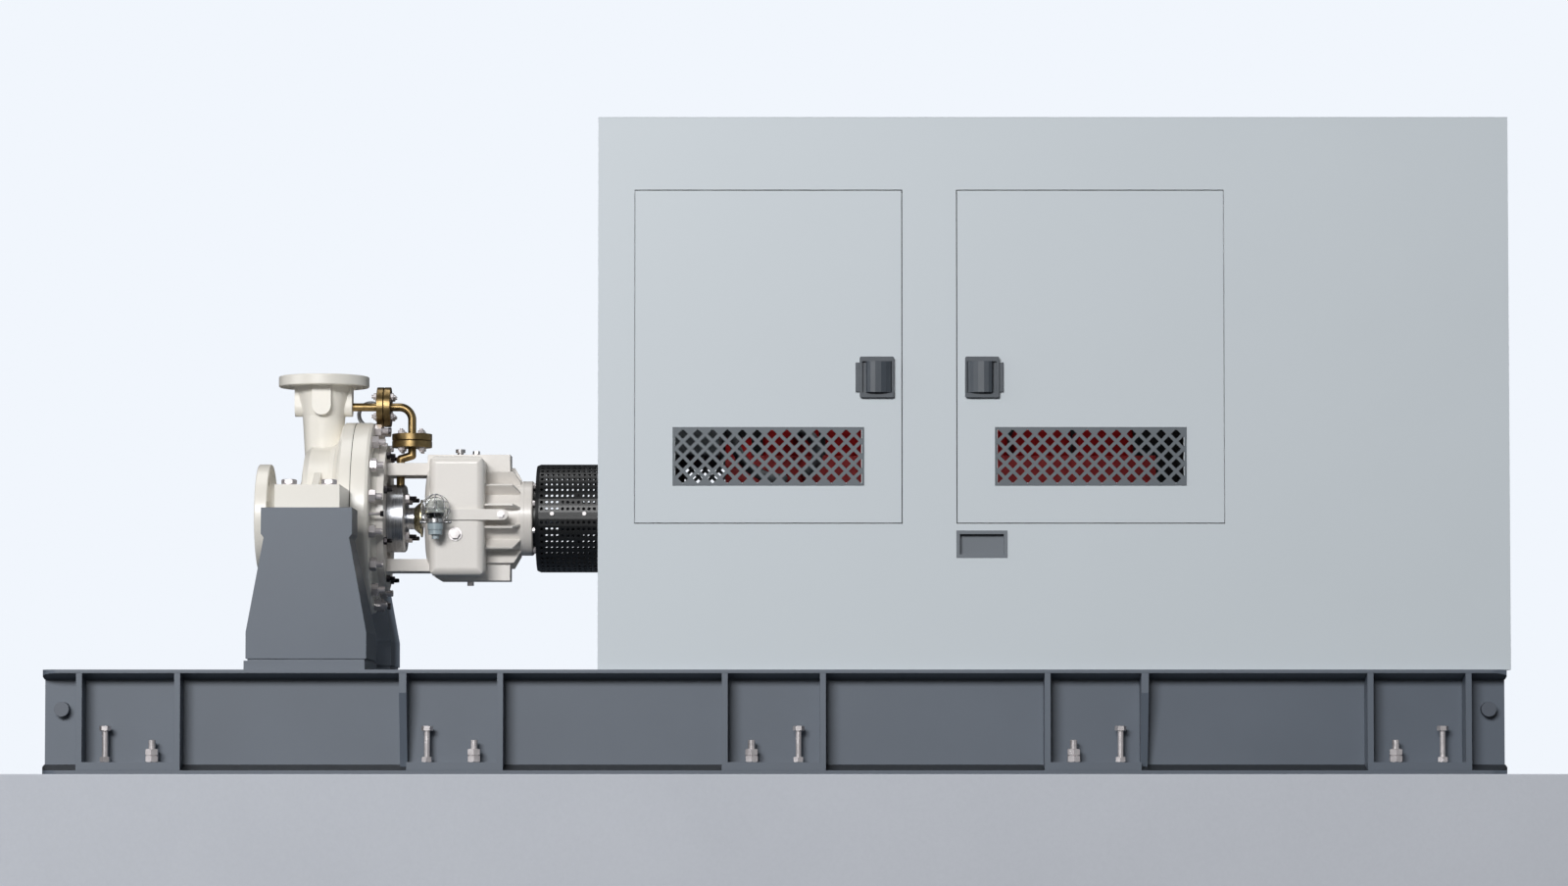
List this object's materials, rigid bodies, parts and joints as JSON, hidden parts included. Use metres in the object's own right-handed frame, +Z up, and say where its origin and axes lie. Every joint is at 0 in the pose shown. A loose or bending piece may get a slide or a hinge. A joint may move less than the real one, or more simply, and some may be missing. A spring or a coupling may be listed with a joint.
{
  "type": "skid-mounted process pump",
  "caption": "Horizontal overhung process pump on a long steel skid with pedestals, flush piping, finned bearing housing and guarded coupling, driven by an engine inside a canopy with doors.",
  "frame": {"origin": "middle of the whole object's box, on the floor that the skid stands on", "axes": "+X along the skid from the pump to the canopy, +Y across the skid away from the viewer, +Z up"},
  "size_m": [4.936, 1.6, 2.218],
  "materials": {
    "skid_paint": "satin textured slate grey paint",
    "canopy_paint": "satin pale grey paint",
    "pump_paint": "semi-gloss ivory paint on castings",
    "bright_steel": "plated bright steel fasteners",
    "polished_steel": "fine turned and polished steel",
    "bronze": "dull bronze piping",
    "brass": "turned brass",
    "guard_black": "black powder coat",
    "grille_grey": "grey powder coat",
    "latch_grey": "fine grained dark grey nylon",
    "hinge_steel": "dull steel",
    "seal_rubber": "black rubber",
    "engine_red": "deep red engine enamel",
    "oiler_grey": "pale blue-grey die casting",
    "oiler_glass": "clear glass",
    "hose_grey": "grey rubber hose",
    "cabinet_grey": "grey cabinet paint",
    "dark_iron": "dark machined iron"
  },
  "bodies": {
    "root": {"skid_rails": "skid_paint", "skid_cross_members": "skid_paint", "bolt_chairs": "skid_paint", "skid_deck": "skid_paint", "lifting_bars": "skid_paint", "foundation_bolts": "bright_steel", "pump_pedestals": "skid_paint", "pump_casing": "pump_paint", "casing_cover": "pump_paint", "cover_studs": "bright_steel", "lifting_eye": "bright_steel", "hex_bolts": "bright_steel", "seal_gland": "polished_steel", "bearing_housing": "pump_paint", "bearing_end_cover": "pump_paint", "bearing_outer_rings": "bright_steel", "oiler_body": "oiler_grey", "oiler_glass": "oiler_glass", "oiler_cage": "bright_steel", "housing_plugs": "bright_steel", "guard_strap": "pump_paint", "flush_pipes": "bronze", "flush_flanges": "bronze", "guard_upper": "guard_black", "guard_lower": "guard_black", "guard_screws": "bright_steel", "canopy_wall_near": "canopy_paint", "canopy_wall_far": "canopy_paint", "canopy_end_walls": "canopy_paint", "canopy_roof": "canopy_paint", "door_seals": "seal_rubber", "hinge_rods": "hinge_steel", "service_pocket": "grille_grey", "engine_block": "engine_red", "radiator": "dark_iron", "engine_hoses": "hose_grey", "control_box": "cabinet_grey"},
    "pump_rotor": {"pump_shaft": "polished_steel", "impeller": "dark_iron", "coupling_pump_half": "dark_iron", "slinger_ring": "brass"},
    "driver_rotor": {"output_shaft": "polished_steel", "coupling_driver_half": "dark_iron", "cooling_fan": "dark_iron"},
    "near_left_door": {"near_left_leaf": "canopy_paint", "near_left_grille": "grille_grey", "near_left_latch": "latch_grey"},
    "near_left_handle": {"near_left_paddle": "latch_grey"},
    "near_right_door": {"near_right_leaf": "canopy_paint", "near_right_grille": "grille_grey", "near_right_latch": "latch_grey"},
    "near_right_handle": {"near_right_paddle": "latch_grey"},
    "far_left_door": {"far_left_leaf": "canopy_paint", "far_left_grille": "grille_grey", "far_left_latch": "latch_grey"},
    "far_left_handle": {"far_left_paddle": "latch_grey"},
    "far_right_door": {"far_right_leaf": "canopy_paint", "far_right_grille": "grille_grey", "far_right_latch": "latch_grey"},
    "far_right_handle": {"far_right_paddle": "latch_grey"}
  },
  "joints": [
    {"name": "pump_spin", "type": "hinge", "parent": "root", "child": "pump_rotor", "pos_m": [-1.294, 0, 0.9], "axis": [1, 0, 0], "continuous": true},
    {"name": "driver_spin", "type": "hinge", "parent": "root", "child": "driver_rotor", "pos_m": [-0.394, 0, 0.9], "axis": [1, 0, 0], "continuous": true},
    {"name": "near_left_door_hinge", "type": "hinge", "parent": "root", "child": "near_left_door", "pos_m": [-0.4795, -0.75, 1.4065], "axis": [0, 0, -1], "range_deg": [0, 120]},
    {"name": "near_left_handle_pivot", "type": "hinge", "parent": "near_left_door", "child": "near_left_handle", "pos_m": [0.379, -0.762, 1.336], "axis": [0, 0, 1], "range_deg": [0, 32], "stiffness_Nm_per_rad": 0.3},
    {"name": "near_right_door_hinge", "type": "hinge", "parent": "root", "child": "near_right_door", "pos_m": [1.5075, -0.75, 1.4065], "axis": [0, 0, 1], "range_deg": [0, 120]},
    {"name": "near_right_handle_pivot", "type": "hinge", "parent": "near_right_door", "child": "near_right_handle", "pos_m": [0.649, -0.762, 1.336], "axis": [0, 0, -1], "range_deg": [0, 32], "stiffness_Nm_per_rad": 0.3},
    {"name": "far_left_door_hinge", "type": "hinge", "parent": "root", "child": "far_left_door", "pos_m": [-0.4795, 0.75, 1.4065], "axis": [0, 0, 1], "range_deg": [0, 120]},
    {"name": "far_left_handle_pivot", "type": "hinge", "parent": "far_left_door", "child": "far_left_handle", "pos_m": [0.379, 0.762, 1.336], "axis": [0, 0, -1], "range_deg": [0, 32], "stiffness_Nm_per_rad": 0.3},
    {"name": "far_right_door_hinge", "type": "hinge", "parent": "root", "child": "far_right_door", "pos_m": [1.5075, 0.75, 1.4065], "axis": [0, 0, -1], "range_deg": [0, 120]},
    {"name": "far_right_handle_pivot", "type": "hinge", "parent": "far_right_door", "child": "far_right_handle", "pos_m": [0.649, 0.762, 1.336], "axis": [0, 0, 1], "range_deg": [0, 32], "stiffness_Nm_per_rad": 0.3}
  ],
  "couplings": [
    {"joint": "pump_spin", "follows": "driver_spin", "ratio": 1}
  ]
}
